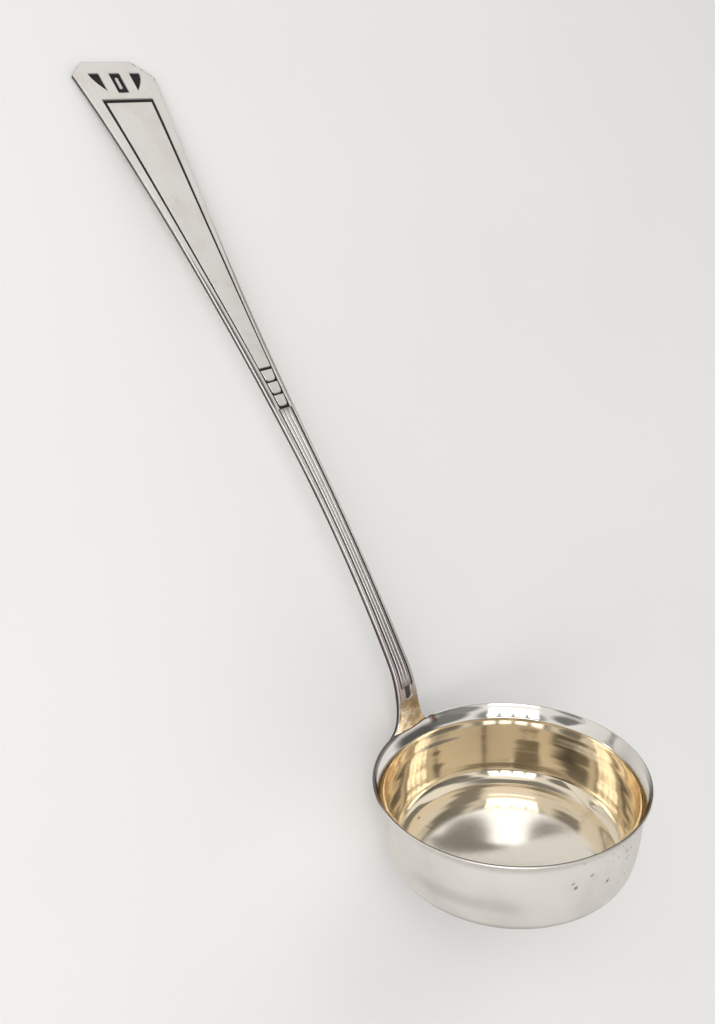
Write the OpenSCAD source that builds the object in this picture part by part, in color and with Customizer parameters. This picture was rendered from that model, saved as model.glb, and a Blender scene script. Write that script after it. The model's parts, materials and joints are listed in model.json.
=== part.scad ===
// Soup ladle: a spun, flat-based bowl with a flared lip, and a long handle soldered to its rim.
// Both pieces are drawn with the bowl upright, its rim in the plane z = 0 and its axis on Z,
// and the handle rising from the +X side. The whole is then tipped back until it lies on the
// bowl's heel and the handle's end, which is how the ladle comes to rest by itself.

/* [Bowl] */
// Outer radius of the rim
rim_r = 45; // [43.5:0.5:52]
// Height of the bowl from its base to the rim
bowl_h = 30; // [26:0.5:40]
// Outer radius of the belly where it is widest
belly_r = 42.4; // [38:0.2:43.4]
// Depth of the belly's widest level below the rim
belly_depth = 10.5; // [8:0.5:13]
// Radius of the belly's upright curve
belly_curve = 60; // [50:5:120]
// Outer radius of the heel between the wall and the base
heel_r = 7.5; // [4:0.5:10]
// Thickness of the sheet
wall = 1.1; // [0.8:0.1:1.8]
// Height of the flared lip
lip_h = 4.6; // [3.4:0.2:6]
// Thickness of the rim's round edge
lip_edge = 0.9; // [0.6:0.1:1.2]

/* [Handle side line] */
// Depth below the rim at which the foot ends
foot_drop = 2; // [1.4:0.1:2.6]
// Distance of the foot's front from the rim's edge
foot_inset = 1.4; // [1:0.1:2]
// Straight rise of the neck above the foot
neck_len = 8.4; // [4:0.2:14]
// Length of the bend above the neck
bend_len = 19; // [14:1:30]
// Angle of the bend
bend_turn = 28; // [20:1:34]
// Length of the slow sweep above the bend
sweep_len = 85; // [60:5:110]
// Angle of the slow sweep
sweep_turn = 8; // [4:0.5:12]
// Length of the nearly straight grip
grip_len = 157; // [120:1:190]
// Angle that the grip bends back
grip_turn = 1; // [0:0.5:4]

/* [Handle width] */
// Width at the waist
waist_w = 7.2; // [6:0.2:10]
// Distance of the waist from the foot's lower end
waist_at = 57; // [45:1:70]
// Width at the end, before its corners are cut off
end_w = 36; // [26:1:42]
// How late the width opens towards the end
taper = 2.35; // [1.8:0.05:3]
// Width that the neck gains at the foot
neck_flare = 5.2; // [3:0.2:8]
// Height over which the neck's gain fades
neck_reach = 14; // [8:1:18]
// Width that the foot's own flare adds at the rim
foot_flare = 10.4; // [6:0.2:12]
// Height over which the foot's flare fades
foot_reach = 2.2; // [1.4:0.1:3]

/* [Handle thickness] */
// Height of the side faces at the end
end_edge = 1.5; // [1:0.1:2.2]
// Height of the side faces at the waist
waist_edge = 2.1; // [1.2:0.1:2.6]
// Height of the side faces at the foot
foot_edge = 1.1; // [0.9:0.1:1.6]
// Crown of the back at the waist
waist_crown = 1.4; // [1:0.1:2.4]
// Crown of the back at the foot, which follows the rim
foot_crown = 1; // [0.6:0.1:1.4]
// Drop of the front's bevelled edges
bevel_drop = 0.5; // [0.2:0.05:0.8]
// Part of the plain border that the bevel takes
bevel_part = 0.68; // [0.3:0.02:0.8]
// Share of the way from the waist to the end at which the bevel has run out
bevel_top = 0.72; // [0.6:0.02:0.84]

/* [Cut corners of the end] */
// How far the end drifts to the left
end_drift = 0.8; // [0:0.1:2]
// Length over which it drifts
drift_len = 40; // [20:1:60]
// Width of the left corner's cut
left_cut_w = 6.6; // [3:0.2:9]
// Length of the left corner's cut
left_cut_len = 5.8; // [3:0.2:10]
// Width of the right corner's cut
right_cut_w = 8.4; // [3:0.2:10]
// Length of the right corner's cut
right_cut_len = 8.2; // [3:0.2:12]

/* [Engraved ornament] */
// Depth of the engraved grooves
groove_depth = 0.4; // [0.2:0.05:0.7]
// Width of the frame's side grooves at its top
frame_groove = 1.3; // [0.6:0.1:1.5]
// Width of the frame's side grooves at the ladder
ladder_groove = 0.5; // [0.4:0.1:0.8]
// Plain border beside the frame at the ladder
border_low = 2.35; // [1.8:0.05:2.6]
// Extra border beside the frame at the end
border_gain = 7.8; // [3:0.2:8.4]
// Distance from the end to the frame's top bar
bar_at = 16.2; // [14.4:0.1:24]
// Width of the frame's top bar
bar_w = 1.5; // [0.8:0.1:2.5]
// Distance from the end to the ladder
ladder_at = 129.2; // [110:0.2:135]
// Number of cells in the ladder
cells = 3; // [1:1:4]
// Length of one cell with its bar
cell_pitch = 5; // [4:0.1:6]
// Width of the ladder's bars
ladder_bar = 0.7; // [0.4:0.1:1]
// Distance from the end to the top of the three recesses
recess_at = 5; // [3:0.1:6]
// Length of the middle recess
recess_len = 8.3; // [5:0.1:8.6]
// Width of the middle recess
recess_w = 4.7; // [3:0.1:5]
// Width of the side recesses at their top
wedge_w = 4.5; // [3:0.1:5]
// Plain metal between the recesses
recess_gap = 4.2; // [2:0.1:5]

/* [Reeded panel] */
// Distance of the panel's outer grooves from the middle, as a part of the half width
panel_share = 0.62; // [0.54:0.01:0.68]
// Width of the panel's outer grooves
panel_groove = 0.7; // [0.4:0.05:0.9]
// Width of the grooves between the reeds
reed_groove = 0.5; // [0.3:0.05:0.6]
// Distance of the inner grooves from the middle, as a part of the outer grooves' distance
reed_split = 0.31; // [0.26:0.01:0.36]
// Height of the panel's lower end above the foot's lower end
panel_foot = 17.6; // [14:0.2:24]
// Length of the pit below the panel
pit_len = 4.6; // [3:0.2:5]
// Width of the pit
pit_w = 2.9; // [2:0.1:4]
// Depth of the pit
pit_depth = 0.8; // [0.4:0.1:1]

/* [Hidden] */
SILVER = [0.86, 0.84, 0.8];
GILT = [0.88, 0.78, 0.56];
$fn = 96;

function arc(cx, cy, r, from, to, n) =
    [for (i = [0:n]) let (a = from + (to - from) * i / n) [cx + r * cos(a), cy + r * sin(a)]];
function mix(a, b, f) = a + (b - a) * f;
function held(v) = min(1, max(0, v));

// Bowl: centres of the belly's and the heel's curves, and the lip's ends
belly_x = belly_r - belly_curve;
heel_z = heel_r - bowl_h;
heel_x = belly_x + sqrt(pow(belly_curve - heel_r, 2) - pow(heel_z + belly_depth, 2));
heel_from = atan2(heel_z + belly_depth, heel_x - belly_x);
crease_out = asin((belly_depth - lip_h) / belly_curve);
crease_in = asin((belly_depth - lip_h) / (belly_curve - wall));

bowl_profile = concat(
    [[0, -bowl_h]],
    arc(heel_x, heel_z, heel_r, -90, heel_from, 12),
    arc(belly_x, -belly_depth, belly_curve, heel_from, crease_out, 10),
    arc(rim_r - lip_edge / 2, -lip_edge / 2, lip_edge / 2, -20, 150, 8),
    arc(belly_x, -belly_depth, belly_curve - wall, crease_in, heel_from, 10),
    arc(heel_x, heel_z, heel_r - wall, heel_from, -90, 12),
    [[0, wall - bowl_h]]
);

// Handle: its side line is a chain of arcs, each with a length and a turn
SIDE = [[neck_len, 0], [bend_len, bend_turn], [sweep_len, sweep_turn], [grip_len, grip_turn]];
foot_start = [rim_r - foot_inset, -foot_drop, 90];
reach = neck_len + bend_len + sweep_len + grip_len;

// Place and direction after an arc of this length and turn
function step(p, len, turn) =
    let (half = turn / 2, chord = turn == 0 ? len : len * sin(half) / (half * PI / 180))
    [p[0] + chord * cos(p[2] - half), p[1] + chord * sin(p[2] - half), p[2] - turn];
// Place and direction at the distance s along the side line
function along(s, i = 0, p = foot_start) =
    let (len = SIDE[i][0], turn = SIDE[i][1])
    s <= len || i == len(SIDE) - 1
        ? step(p, s, turn * s / len)
        : along(s - len, i + 1, step(p, len, turn));

// Share of the way from the waist to the end
function open(s) = max(0, (s - waist_at) / (reach - waist_at));
function half_w(s) =
    (waist_w + (end_w - waist_w) * pow(open(s), taper)
        + neck_flare * exp(-s / neck_reach) + foot_flare * exp(-s / foot_reach)) / 2;
function edge_h(s) =
    mix(mix(foot_edge, waist_edge, held(s / neck_reach)), end_edge, open(s));
function crown_h(s) =
    mix(foot_crown, waist_crown, held(s / neck_reach)) * (1 - pow(open(s), 2));

// Half width of the engraved frame, and of the reeded panel below it
function frame_half(s) =
    half_w(s) - border_low - border_gain * pow(max(0, open(s) - 0.5) * 2, 2) / 2;
function panel_half(s) = half_w(s) * panel_share;
ladder_s = reach - ladder_at;
panel_s = ladder_s - cells * cell_pitch - ladder_bar;
bar_s = reach - bar_at;
snap = 0.3;

// Strength of the bevel: none at the foot and near the end
function bevel(s) = max(0.12, held(s / panel_foot) * held((bevel_top - open(s)) * 5));
// How far the middle lies to the left
function drift(s) = end_drift * pow(held(1 - (reach - s) / drift_len), 2);
// Distance of one edge from the middle, with the end's corner cut off on that side
function side_w(s, side) =
    let (cut_w = side > 0 ? left_cut_w : right_cut_w, cut_len = side > 0 ? left_cut_len : right_cut_len)
    min(half_w(s), half_w(reach) - cut_w * (1 - (reach - s) / cut_len));

// Relief of the front at s: [place of the outer groove, its width, its depth, reeds, depth inside]
function relief(s, side) =
    s <= panel_foot ? [half_w(s) * 0.55, reed_groove, 0, 0, 0]
    : s <= panel_s ? [panel_half(s), panel_groove, groove_depth, groove_depth, 0]
    : s > bar_s ? [side_w(s, side) * 0.6, frame_groove, 0, 0, 0]
    : let (f = held((s - ladder_s) / (bar_s - ladder_s)), bar = s > bar_s - bar_w + snap / 2)
        [frame_half(s), mix(ladder_groove, frame_groove, f), groove_depth, 0, bar ? groove_depth : 0];

// One side of the front, from the edge to the middle: [distance from the middle, depth]
function half_front(s, side) =
    let (r = relief(s, side), g = r[0], w = r[1], d = r[2], reed = r[3], flat = r[4],
        i = g * reed_split, v = reed_groove / 2, out = g - w / 2, flank = reed * 0.4,
        rim = side_w(s, side), border = rim - g - w / 2)
    [
        [rim, bevel_drop * bevel(s)], [rim - border * bevel_part * bevel(s), 0],
        [g + w / 2, 0], [g + w / 5, d], [g - w / 5, d],
        [out, flank + flat], [mix(out, i + v, 0.25), flank * 0.3 + flat],
        [mix(out, i + v, 0.5), flat], [mix(out, i + v, 0.75), flank * 0.3 + flat],
        [i + v, flank + flat], [i, reed + flat], [i - v, flank + flat],
        [(i - v) / 2, flank * 0.3 + flat]
    ];
function ring(s) =
    let (p = along(s), o = drift(s), m = 8,
        left = half_front(s, 1), right = half_front(s, -1), n = len(right))
    [
        for (q = left) face_point(p, o + q[0], q[1]),
        face_point(p, o, relief(s, 1)[4]),
        for (k = [1:n]) face_point(p, o - right[n - k][0], right[n - k][1]),
        for (k = [0:m]) let (y = 2 * k / m - 1, w = y > 0 ? left[0][0] : right[0][0])
            face_point(p, o + w * y, edge_h(s) + crown_h(s) * (1 - y * y))
    ];
// A point on the front at the distance y from its middle, sunk by the depth d
function face_point(p, y, d) = [p[0] + d * sin(p[2]), y, p[1] - d * cos(p[2])];

// Places of the rings: close together where the width, the bend or the relief changes
STATIONS = concat(
    [0, 0.8, 1.7, 2.8, 4.4, 6.4, 9, 12, 15],
    [panel_foot, panel_foot + snap],
    [for (s = [panel_foot + 3:3:waist_at]) s],
    [for (i = [1:12]) mix(waist_at, panel_s, i / 12)],
    [panel_s + snap],
    [for (i = [0:20]) mix(ladder_s, bar_s - bar_w, i / 20)],
    [bar_s - bar_w + snap, bar_s, bar_s + snap],
    [reach - max(left_cut_len, right_cut_len), reach - min(left_cut_len, right_cut_len), reach]
);

// Rings joined to a solid, with a fan from a point inside each end ring
module loft(rings) {
    n = len(rings[0]);
    last = len(rings) - 1;
    count = n * (last + 1);
    sides = [
        for (i = [0:last - 1], j = [0:n - 1])
            let (a = i * n + j, b = i * n + (j + 1) % n)
            each [[b, a, a + n], [b + n, b, a + n]]
    ];
    ends = [
        for (j = [0:n - 1])
            let (k = (j + 1) % n)
            each [[j, k, count], [last * n + k, last * n + j, count + 1]]
    ];
    points = concat([for (r = rings) each r], [centre(rings[0]), centre(rings[last])]);
    polyhedron(points, concat(ends, sides));
}
function centre(points) = [for (i = [0:2]) sum([for (p = points) p[i]]) / len(points)];
function sum(v, i = 0) = i == len(v) ? 0 : v[i] + sum(v, i + 1);

// Children stand on the front face at s, with X along the handle and Z out of the metal
module on_face(s) {
    p = along(s);
    translate([p[0], drift(s - recess_len / 2), p[1]]) rotate([0, -p[2], 0]) children();
}

// A pocket of this depth under a flat outline that starts at s
module pocket(s, depth) {
    on_face(s) translate([0, 0, -depth]) linear_extrude(depth + 2) children();
}

// Two leaf-shaped recesses and a straight one with a bead left standing in it
module end_recesses() {
    inner = recess_w / 2 + recess_gap;
    leaf_len = recess_len - 0.8;
    pocket(reach - recess_at, groove_depth * 1.5) {
        for (side = [1, -1])
            polygon(concat(
                [[0, side * inner]],
                [for (i = [0:8]) let (f = i / 8)
                    [-leaf_len * f, side * (inner + wedge_w * (1 - pow(f, 1.6)))]]
            ));
        difference() {
            translate([-recess_len, -recess_w / 2]) square([recess_len, recess_w]);
            bead(recess_len * 0.62, recess_w * 0.3);
        }
    }
}
module bead(l, w) {
    middle = -recess_len / 2;
    polygon(concat(
        arc(middle + (l - w) / 2, 0, w / 2, -90, 90, 8),
        arc(middle - (l - w) / 2, 0, w / 2, 90, 270, 8)
    ));
}

// The ladder: a sunk strip in which one tongue for each cell stands at full height
module ladder() {
    for (i = [0:cells - 1]) {
        s = ladder_s - i * cell_pitch;
        half = frame_half(s - cell_pitch) + ladder_groove / 2;
        pocket(s + ladder_bar / 2, groove_depth) difference() {
            translate([-cell_pitch - ladder_bar, -half]) square([cell_pitch + ladder_bar, half * 2]);
            tongue(cell_pitch - ladder_bar, half - ladder_groove);
        }
    }
}
module tongue(l, half) {
    top = -ladder_bar;
    curl = half * 0.55;
    polygon(concat(
        [[top, half], [top, -half]],
        arc(top - l + curl, curl - half * 0.85, curl, 270, 180, 5),
        arc(top - l + curl, half * 0.85 - curl, curl, 180, 90, 5)
    ));
}

module pit() {
    pocket(panel_foot + snap, pit_depth)
        polygon([
            [0, pit_w / 2], [0, -pit_w / 2], [-pit_len * 0.8, -pit_w / 2],
            [-pit_len, 0], [-pit_len * 0.8, pit_w / 2]
        ]);
}

// How far the ladle tips back: a line from the end's back edge touches the heel below
end_p = along(reach);
end_back = face_point(end_p, 0, edge_h(reach));
rest_dx = end_back[0] - heel_x;
rest_dz = end_back[2] - heel_z;
lean = atan2(rest_dz, rest_dx) + asin(heel_r / norm([rest_dx, rest_dz]));
function lain_x(x, z) = x * cos(lean) + z * sin(lean);
function lain_z(x, z) = z * cos(lean) - x * sin(lean);
far_x = lain_x(end_p[0], end_p[1]);
near_x = lain_x(-heel_x, heel_z) - heel_r;
floor_z = lain_z(heel_x, heel_z) - heel_r;

module laid() {
    translate([-(near_x + far_x) / 2, 0, -floor_z]) rotate([0, lean, 0]) children();
}

module bowl_shell() {
    rotate_extrude() polygon(bowl_profile);
}

module bowl() {
    color(GILT) laid() bowl_shell();
}

module handle() {
    color(SILVER) laid() difference() {
        loft([for (s = STATIONS) ring(s)]);
        bowl_shell();
        end_recesses();
        ladder();
        pit();
    }
}

bowl();
handle();
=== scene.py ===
"""A soup ladle lying at rest: smooth meshes, finishes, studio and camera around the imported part.

Sizes are in millimetres in the drawing frame, where the bowl stands upright with its rim in the
plane z = 0 and its axis on Z. Lie.place turns them into metres in the row frame.
"""

import json
import logging
import math
from dataclasses import dataclass
from enum import Enum

import bpy
import numpy as np
from mathutils import Matrix, Vector

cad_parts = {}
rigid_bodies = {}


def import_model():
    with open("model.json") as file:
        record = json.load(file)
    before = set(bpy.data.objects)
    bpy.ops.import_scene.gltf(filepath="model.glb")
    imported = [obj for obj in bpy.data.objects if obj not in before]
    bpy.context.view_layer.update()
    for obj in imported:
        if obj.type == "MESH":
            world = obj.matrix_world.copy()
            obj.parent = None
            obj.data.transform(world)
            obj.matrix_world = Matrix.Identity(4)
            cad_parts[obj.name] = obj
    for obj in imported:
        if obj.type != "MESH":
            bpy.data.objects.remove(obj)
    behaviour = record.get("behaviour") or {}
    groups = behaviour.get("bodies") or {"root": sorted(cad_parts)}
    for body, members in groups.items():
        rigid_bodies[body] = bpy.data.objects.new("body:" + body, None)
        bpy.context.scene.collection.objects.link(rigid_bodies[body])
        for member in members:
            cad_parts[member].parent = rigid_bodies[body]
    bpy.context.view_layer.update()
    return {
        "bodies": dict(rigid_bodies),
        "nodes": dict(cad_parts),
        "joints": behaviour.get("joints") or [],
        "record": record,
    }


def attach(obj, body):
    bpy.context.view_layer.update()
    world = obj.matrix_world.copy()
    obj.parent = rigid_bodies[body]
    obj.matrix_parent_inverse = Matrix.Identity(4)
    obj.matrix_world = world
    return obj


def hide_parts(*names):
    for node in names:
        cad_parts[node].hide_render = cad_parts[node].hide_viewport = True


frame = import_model()

MM = 0.001
LOG = logging.getLogger("ladle")
Limit = float | np.ndarray
Span = tuple[float, float]


class Side(Enum):
    """The handle's two long edges, with the sign of their Y."""

    LEFT = 1
    RIGHT = -1


def smooth(value: np.ndarray, low: float, high: float) -> np.ndarray:
    """Smooth step from 0 at low to 1 at high.

    Args:
        value: Numbers to map.
        low: Value at which the step starts.
        high: Value at which it ends.

    Returns:
        Numbers from 0 to 1.
    """
    t = np.clip((value - low) / (high - low), 0.0, 1.0)
    return t * t * (3.0 - 2.0 * t)


def inside(value: np.ndarray, low: Limit, high: Limit, soft: float) -> np.ndarray:
    """1 between low and high, 0 outside, with soft steps centred on both limits.

    Args:
        value: Numbers to test.
        low: Lower limit.
        high: Upper limit.
        soft: Width of each step.

    Returns:
        Numbers from 0 to 1.
    """
    rise = smooth(value - low, -soft / 2, soft / 2)
    fall = smooth(high - value, -soft / 2, soft / 2)
    return rise * fall


def arc(cx: float, cz: float, radius: float, start: float, end: float, count: int) -> np.ndarray:
    """Points on a circular arc.

    Args:
        cx: X of the centre.
        cz: Z of the centre.
        radius: Radius.
        start: First angle in degrees.
        end: Last angle in degrees.
        count: Number of points.

    Returns:
        An array of count rows of x and z.
    """
    angle = np.radians(np.linspace(start, end, count))
    return np.column_stack([cx + radius * np.cos(angle), cz + radius * np.sin(angle)])


def rounded(before: np.ndarray, corner: np.ndarray, after: np.ndarray, reach: float) -> np.ndarray:
    """A small curve in place of a corner between two directions.

    Args:
        before: A point on the way to the corner.
        corner: The corner.
        after: A point on the way from it.
        reach: How far from the corner the curve starts and ends.

    Returns:
        Points along the curve.
    """
    start = corner + (before - corner) / np.linalg.norm(before - corner) * reach
    end = corner + (after - corner) / np.linalg.norm(after - corner) * reach
    t = np.linspace(0.0, 1.0, 9)[:, None]
    return (1 - t) ** 2 * start + 2 * t * (1 - t) * corner + t * t * end


@dataclass(frozen=True)
class BowlForm:
    """Sizes of the spun bowl."""

    rim_r: float = 45.0
    height: float = 30.0
    belly_r: float = 42.4
    belly_depth: float = 10.5
    belly_curve: float = 60.0
    heel_r: float = 7.5
    wall: float = 1.1
    lip_h: float = 4.6
    lip_edge: float = 0.9
    crease_reach: float = 0.7
    flare: float = 0.36
    rim_end: float = 150.0
    # How far the floor sinks in the mesh, and how much deeper a dish its finish mirrors
    dish: float = 0.45
    dish_sheen: float = 2.7

    @property
    def belly_x(self) -> float:
        """Distance of the belly curve's centre from the axis."""
        return self.belly_r - self.belly_curve

    @property
    def heel_z(self) -> float:
        """Height of the heel curve's centre."""
        return self.heel_r - self.height

    @property
    def heel_x(self) -> float:
        """Distance of the heel curve's centre from the axis."""
        reach = (self.belly_curve - self.heel_r) ** 2 - (self.heel_z + self.belly_depth) ** 2
        return self.belly_x + math.sqrt(reach)

    @property
    def heel_from(self) -> float:
        """Angle at which the heel curve meets the belly curve."""
        rise, run = self.heel_z + self.belly_depth, self.heel_x - self.belly_x
        return math.degrees(math.atan2(rise, run))

    def crease(self, radius: float) -> float:
        """Angle of the crease on a belly curve of this radius."""
        return math.degrees(math.asin((self.belly_depth - self.lip_h) / radius))

    def lip_inner(self, z: np.ndarray) -> np.ndarray:
        """Inner radius of the lip's cone at the height z.

        Args:
            z: Heights below the rim, as negative numbers.

        Returns:
            Distances from the axis.
        """
        curve = self.belly_curve - self.wall
        low = self.belly_x + curve * math.cos(math.radians(self.crease(curve)))
        half, end = self.lip_edge / 2, self.rim_end
        top = arc(self.rim_r - half, -half, half, end, end, 1)[0]
        share = (z + self.lip_h) / (top[1] + self.lip_h)
        return low + (top[0] - low) * share - self.lip_hollow(z)

    def lip_hollow(self, z: np.ndarray) -> np.ndarray:
        """How far the lip's hollow flare lies inside a straight cone at the height z."""
        share = np.clip((z + self.lip_h) / (self.lip_h - self.lip_edge / 2), 0, 1)
        return self.flare * 4 * share * (1 - share)


@dataclass(frozen=True)
class HandleForm:
    """Sizes of the handle. Distances s run up the handle from its foot."""

    foot_drop: float = 2.0
    foot_inset: float = 1.4
    chain: tuple[tuple[float, float], ...] = ((8.4, 0.0), (19.0, 28.0), (85.0, 8.0), (157.0, 1.0))
    waist_w: float = 7.2
    waist_at: float = 57.0
    end_w: float = 36.0
    taper: float = 2.35
    neck_flare: float = 5.2
    neck_reach: float = 14.0
    foot_flare: float = 10.4
    foot_reach: float = 2.2
    end_edge: float = 1.5
    waist_edge: float = 2.1
    foot_edge: float = 1.1
    waist_crown: float = 1.4
    foot_crown: float = 1.0
    end_drift: float = 0.8
    drift_len: float = 40.0
    left_cut: tuple[float, float] = (6.6, 5.8)
    right_cut: tuple[float, float] = (8.4, 8.2)
    edge_round: float = 0.28

    @property
    def reach(self) -> float:
        """Length of the side line."""
        return sum(length for length, _ in self.chain)

    def along(self, s: np.ndarray, rim_r: float) -> tuple[np.ndarray, np.ndarray, np.ndarray]:
        """Places and directions on the side line.

        Args:
            s: Distances from the foot.
            rim_r: Radius of the bowl's rim.

        Returns:
            X, Z and the angle in degrees at each distance.
        """
        x, z, angle = np.zeros_like(s), np.zeros_like(s), np.zeros_like(s)
        px, pz, pa, done = rim_r - self.foot_inset, -self.foot_drop, 90.0, 0.0
        for index, (length, turn) in enumerate(self.chain):
            last = index == len(self.chain) - 1
            here = (s >= done - 1e-9) & ((s < done + length) | last)
            part = s - done
            for mask, run in ((here, part), (None, np.array([length]))):
                half = turn * run / length / 2
                flat = np.abs(half) < 1e-9
                safe = np.where(flat, 1.0, half)
                chord = np.where(flat, run, run * np.sin(np.radians(safe)) / np.radians(safe))
                nx = px + chord * np.cos(np.radians(pa - half))
                nz = pz + chord * np.sin(np.radians(pa - half))
                if mask is None:
                    px, pz, pa = float(nx[0]), float(nz[0]), pa - turn
                else:
                    x[mask], z[mask], angle[mask] = nx[mask], nz[mask], (pa - 2 * half)[mask]
            done += length
        return x, z, angle

    def opening(self, s: np.ndarray) -> np.ndarray:
        """Share of the way from the waist to the end."""
        return np.maximum(0.0, (s - self.waist_at) / (self.reach - self.waist_at))

    def half_w(self, s: np.ndarray) -> np.ndarray:
        """Half width before the end's corners are cut off.

        Args:
            s: Distances from the foot.

        Returns:
            Distances from the middle.
        """
        blade = (self.end_w - self.waist_w) * self.opening(s) ** self.taper
        neck = self.neck_flare * np.exp(-s / self.neck_reach)
        foot = self.foot_flare * np.exp(-s / self.foot_reach)
        return (self.waist_w + blade + neck + foot) / 2

    def side_w(self, s: np.ndarray, side: Side) -> np.ndarray:
        """Distance of one edge from the middle.

        Args:
            s: Distances from the foot.
            side: Which of the two edges.

        Returns:
            Distances from the middle.
        """
        width, length = self.left_cut if side is Side.LEFT else self.right_cut
        full = float(self.half_w(np.array([self.reach]))[0])
        return np.minimum(self.half_w(s), full - width * (1 - (self.reach - s) / length))

    def drift(self, s: np.ndarray) -> np.ndarray:
        """How far the middle lies to the left."""
        return self.end_drift * np.clip(1 - (self.reach - s) / self.drift_len, 0, 1) ** 2

    def edge_h(self, s: np.ndarray) -> np.ndarray:
        """Height of the side faces.

        Args:
            s: Distances from the foot.

        Returns:
            Heights.
        """
        neck = np.clip(s / self.neck_reach, 0, 1)
        low = self.foot_edge + (self.waist_edge - self.foot_edge) * neck
        return low + (self.end_edge - low) * self.opening(s)

    def crown_h(self, s: np.ndarray) -> np.ndarray:
        """Height of the back's crown over the side faces.

        Args:
            s: Distances from the foot.

        Returns:
            Heights.
        """
        neck = np.clip(s / self.neck_reach, 0, 1)
        low = self.foot_crown + (self.waist_crown - self.foot_crown) * neck
        return low * (1 - self.opening(s) ** 2)


@dataclass(frozen=True)
class Lie:
    """How the ladle lies: tipped back until the heel and the handle's end touch the table."""

    lean: float
    mid_x: float
    floor_z: float

    @classmethod
    def of(cls, bowl: BowlForm, handle: HandleForm) -> "Lie":
        """Works out the lie from the two pieces' sizes.

        Args:
            bowl: Sizes of the bowl.
            handle: Sizes of the handle.

        Returns:
            The lie at rest.
        """
        end = np.array([handle.reach])
        x, z, angle = (float(v[0]) for v in handle.along(end, bowl.rim_r))
        back = float(handle.edge_h(end)[0])
        dx = x + back * math.sin(math.radians(angle)) - bowl.heel_x
        dz = z - back * math.cos(math.radians(angle)) - bowl.heel_z
        lean = math.atan2(dz, dx) + math.asin(bowl.heel_r / math.hypot(dx, dz))
        c, s = math.cos(lean), math.sin(lean)
        near = -bowl.heel_x * c + bowl.heel_z * s - bowl.heel_r
        far = x * c + z * s
        return cls(lean, (near + far) / 2, bowl.heel_z * c - bowl.heel_x * s - bowl.heel_r)

    def turn(self, v: np.ndarray) -> np.ndarray:
        """Directions of the drawing frame in the row frame.

        Args:
            v: Directions, one a row.

        Returns:
            The turned directions.
        """
        v = np.asarray(v, float)
        c, s = math.cos(self.lean), math.sin(self.lean)
        x, y, z = v[..., 0], v[..., 1], v[..., 2]
        return np.stack([x * c + z * s, y, z * c - x * s], -1)

    def place(self, points: np.ndarray) -> np.ndarray:
        """Points of the drawing frame in the row frame, in metres."""
        return (self.turn(points) - np.array([self.mid_x, 0.0, self.floor_z])) * MM


@dataclass
class Skin:
    """A closed mesh of rings of points, capped at both ends, with named values at each point."""

    name: str
    rings: np.ndarray
    values: dict[str, np.ndarray]

    def build(self) -> bpy.types.Object:
        """Makes the mesh object.

        Returns:
            The new object, linked to the scene.
        """
        count, width = self.rings.shape[:2]
        index = np.arange(count * width).reshape(count, width)
        right = np.roll(index, -1, axis=1)
        quads = np.stack([index[:-1], right[:-1], right[1:], index[1:]], -1).reshape(-1, 4)
        faces = quads.tolist()
        points = self.rings.reshape(-1, 3)
        values = {key: v.reshape(count * width, -1) for key, v in self.values.items()}
        for row, flip in ((0, True), (-1, False)):
            centre = len(points)
            points = np.vstack([points, self.rings[row].mean(0)])
            values = {k: np.vstack([v, v[index[row]].mean(0)]) for k, v in values.items()}
            a, b = (right[row], index[row]) if flip else (index[row], right[row])
            faces += [[int(i), int(j), centre] for i, j in zip(a, b)]
        mesh = bpy.data.meshes.new(self.name)
        mesh.from_pydata(points.tolist(), [], faces)
        mesh.validate()
        for key, v in values.items():
            kind, slot = ("FLOAT", "value") if v.shape[1] == 1 else ("FLOAT_VECTOR", "vector")
            carried = mesh.attributes.new(key, kind, "POINT")
            carried.data.foreach_set(slot, v.astype(np.float32).ravel())
        mesh.shade_smooth()
        mesh.update()
        made = bpy.data.objects.new(self.name, mesh)
        bpy.context.scene.collection.objects.link(made)
        return made


class Number:
    """A shader socket that takes part in Python sums."""

    def __init__(self, tree: "Tree", socket: bpy.types.NodeSocket) -> None:
        """Wraps one output socket of a tree."""
        self.tree = tree
        self.socket = socket

    def _math(self, operation: str, first: "Term", second: "Term" = 0.0) -> "Number":
        """One Math node on two terms."""
        return self.tree.node("ShaderNodeMath", {"operation": operation}, {0: first, 1: second})

    def __add__(self, other: "Term") -> "Number":
        """Sum."""
        return self._math("ADD", self, other)

    def __sub__(self, other: "Term") -> "Number":
        """Difference."""
        return self._math("SUBTRACT", self, other)

    def __rsub__(self, other: "Term") -> "Number":
        """Difference with the number on the right."""
        return self._math("SUBTRACT", other, self)

    def __mul__(self, other: "Term") -> "Number":
        """Product."""
        return self._math("MULTIPLY", self, other)

    def __truediv__(self, other: "Term") -> "Number":
        """Quotient."""
        return self._math("DIVIDE", self, other)

    __radd__ = __add__
    __rmul__ = __mul__

    def most(self, other: "Term") -> "Number":
        """The larger of the two."""
        return self._math("MAXIMUM", self, other)

    def least(self, other: "Term") -> "Number":
        """The smaller of the two."""
        return self._math("MINIMUM", self, other)

    def size(self) -> "Number":
        """Distance from 0."""
        return self._math("ABSOLUTE", self)

    def part(self) -> "Number":
        """What is over the whole number below."""
        return self._math("FRACT", self)

    def step(self, low: float, high: float) -> "Number":
        """Smooth step from 0 at low to 1 at high."""
        settings = {"interpolation_type": "SMOOTHSTEP"}
        return self.tree.node("ShaderNodeMapRange", settings, {"Value": self, 1: low, 2: high})


Term = Number | float
Colour = tuple[float, float, float]
EVEN = (1.0, 1.0, 1.0)


@dataclass(frozen=True)
class Grain:
    """Sizes of a soft noise."""

    stretch: tuple[float, float, float]
    scale: float
    detail: float
    rough: float = 0.5


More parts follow.
